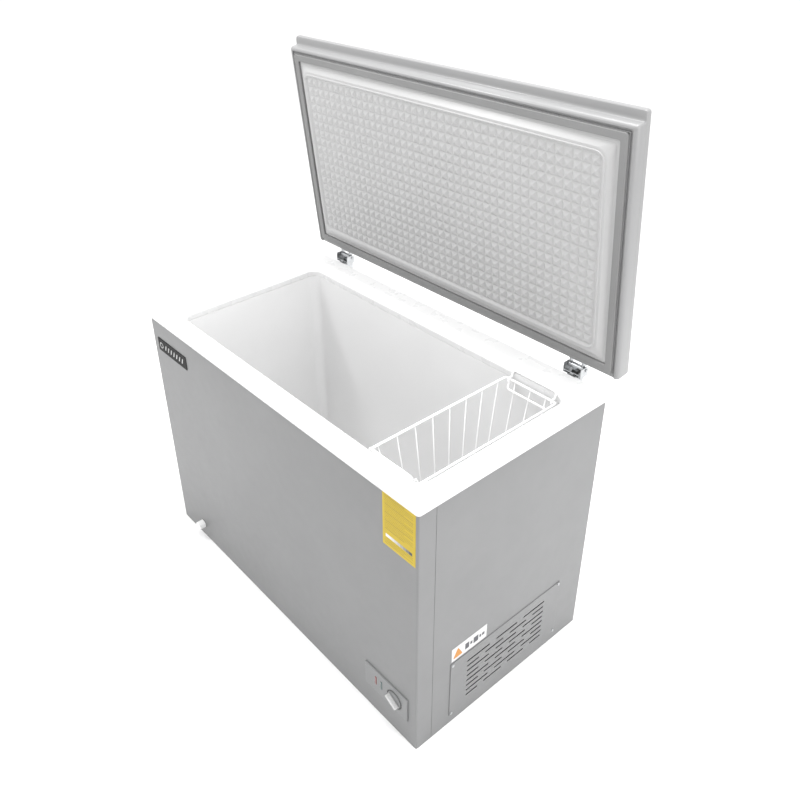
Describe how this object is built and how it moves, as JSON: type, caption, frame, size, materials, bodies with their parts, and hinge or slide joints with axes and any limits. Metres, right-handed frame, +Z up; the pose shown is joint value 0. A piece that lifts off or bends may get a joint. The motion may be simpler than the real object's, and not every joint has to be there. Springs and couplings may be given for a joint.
{
  "type": "chest freezer",
  "caption": "Free-standing chest freezer with a counterbalanced hinged lid, a deep tub, a lift-out wire basket, a vented compressor bay and a front dial and drain.",
  "frame": {"origin": "centre of the cabinet's footprint, on the floor", "axes": "+X to the right along the cabinet's width, -Y the front with the controls, +Z up; the lid is stored open"},
  "size_m": [1.128, 0.675, 1.4091],
  "materials": {
    "body_grey": "satin grey powder coat",
    "galvanised": "galvanised",
    "zinc": "zinc plated",
    "rim_white": "smooth white",
    "tub_white": "smooth white",
    "foam": "rigid polyurethane foam",
    "lid_white": "white gloss enamel",
    "gasket_grey": "soft matt",
    "magnet": "bonded ferrite strip",
    "basket_wire": "white plastic coated",
    "compressor_black": "black enamel",
    "black_rubber": "matt",
    "black_plastic": "fine grain",
    "copper": "drawn copper",
    "panel_grey": "satin",
    "lamp_red": "tinted lens",
    "lamp_green": "tinted lens",
    "knob_grey": "satin",
    "white_plastic": "satin",
    "badge_black": "gloss",
    "label_yellow": "paper",
    "sticker_white": "paper",
    "spring_steel": "oiled"
  },
  "bodies": {
    "cabinet": {"front_panel": "body_grey", "right_side_panel": "body_grey", "left_side_panel": "body_grey", "rear_panel": "body_grey", "base_pan": "galvanised", "bay_bulkhead": "galvanised", "inner_liner": "tub_white", "top_rim": "rim_white", "cabinet_foam": "foam", "vent_cover": "body_grey", "vent_cover_screws": "zinc", "compressor_shell": "compressor_black", "compressor_plate": "compressor_black", "compressor_grommets": "black_rubber", "compressor_bolts": "zinc", "relay_box": "black_plastic", "filter_drier": "copper", "discharge_pipe": "copper", "suction_pipe": "copper", "liquid_pipe": "copper", "evaporator_coil": "copper", "condenser_coil": "copper", "control_panel": "panel_grey", "power_lamp": "lamp_red", "run_lamp": "lamp_green", "thermostat_body": "white_plastic", "drain_tube": "white_plastic", "badge_plate": "badge_black", "energy_label": "label_yellow", "side_sticker": "sticker_white", "cable_gland": "black_rubber", "hinge_housing_left": "zinc", "hinge_housing_right": "zinc", "hinge_pin_left": "zinc", "hinge_pin_right": "zinc", "hinge_cabinet_screws": "zinc", "hinge_spring_left": "spring_steel", "hinge_spring_right": "spring_steel"},
    "lid": {"lid_skin": "lid_white", "lid_foam": "foam", "lid_liner": "tub_white", "lid_gasket": "gasket_grey", "gasket_magnet": "magnet", "hinge_leaf_left": "zinc", "hinge_leaf_right": "zinc", "hinge_lid_screws": "zinc"},
    "plunger_left": {"hinge_plunger_left": "black_plastic"},
    "plunger_right": {"hinge_plunger_right": "black_plastic"},
    "knob": {"thermostat_knob": "knob_grey"},
    "drain_cap": {"drain_cap": "white_plastic"},
    "drain_plug": {"drain_plug": "black_rubber"},
    "basket": {"basket_rim_wire": "basket_wire", "basket_base_ring": "basket_wire", "basket_side_wires": "basket_wire", "basket_end_wires": "basket_wire", "basket_floor_cross_wires": "basket_wire", "basket_floor_long_wires": "basket_wire"},
    "front_handle": {"basket_handle_front": "basket_wire"},
    "rear_handle": {"basket_handle_rear": "basket_wire"}
  },
  "joints": [
    {"name": "lid_hinge", "type": "hinge", "parent": "cabinet", "child": "lid", "pos_m": [0, 0.326, 0.765], "axis": [-1, 0, 0], "range_deg": [-83.7, 0]},
    {"name": "left_plunger_slide", "type": "slide", "parent": "cabinet", "child": "plunger_left", "axis": [0, 0, 1], "range_m": [-0.0068, 0], "deforming": ["hinge_spring_left"]},
    {"name": "right_plunger_slide", "type": "slide", "parent": "cabinet", "child": "plunger_right", "axis": [0, 0, 1], "range_m": [-0.0068, 0], "deforming": ["hinge_spring_right"]},
    {"name": "thermostat_turn", "type": "hinge", "parent": "cabinet", "child": "knob", "pos_m": [0.48, -0.305, 0.115], "axis": [0, -1, 0], "range_deg": [-280, 0]},
    {"name": "drain_cap_pull", "type": "slide", "parent": "cabinet", "child": "drain_cap", "axis": [0, -1, 0], "range_m": [0, 0.03]},
    {"name": "drain_plug_lift", "type": "slide", "parent": "cabinet", "child": "drain_plug", "axis": [0, 0, 1], "range_m": [0, 0.04]},
    {"name": "basket_lift", "type": "slide", "parent": "cabinet", "child": "basket", "axis": [0, 0, 1], "range_m": [0, 0.26]},
    {"name": "front_handle_tilt", "type": "hinge", "parent": "basket", "child": "front_handle", "pos_m": [0.393, -0.222, 0.7175], "axis": [-1, 0, 0], "range_deg": [0, 4]},
    {"name": "rear_handle_tilt", "type": "hinge", "parent": "basket", "child": "rear_handle", "pos_m": [0.393, 0.222, 0.7175], "axis": [1, 0, 0], "range_deg": [0, 4]}
  ],
  "couplings": [
    {"joint": "left_plunger_slide", "follows": "lid_hinge", "m_per_rad": 0.0045},
    {"joint": "right_plunger_slide", "follows": "lid_hinge", "m_per_rad": 0.0045}
  ]
}
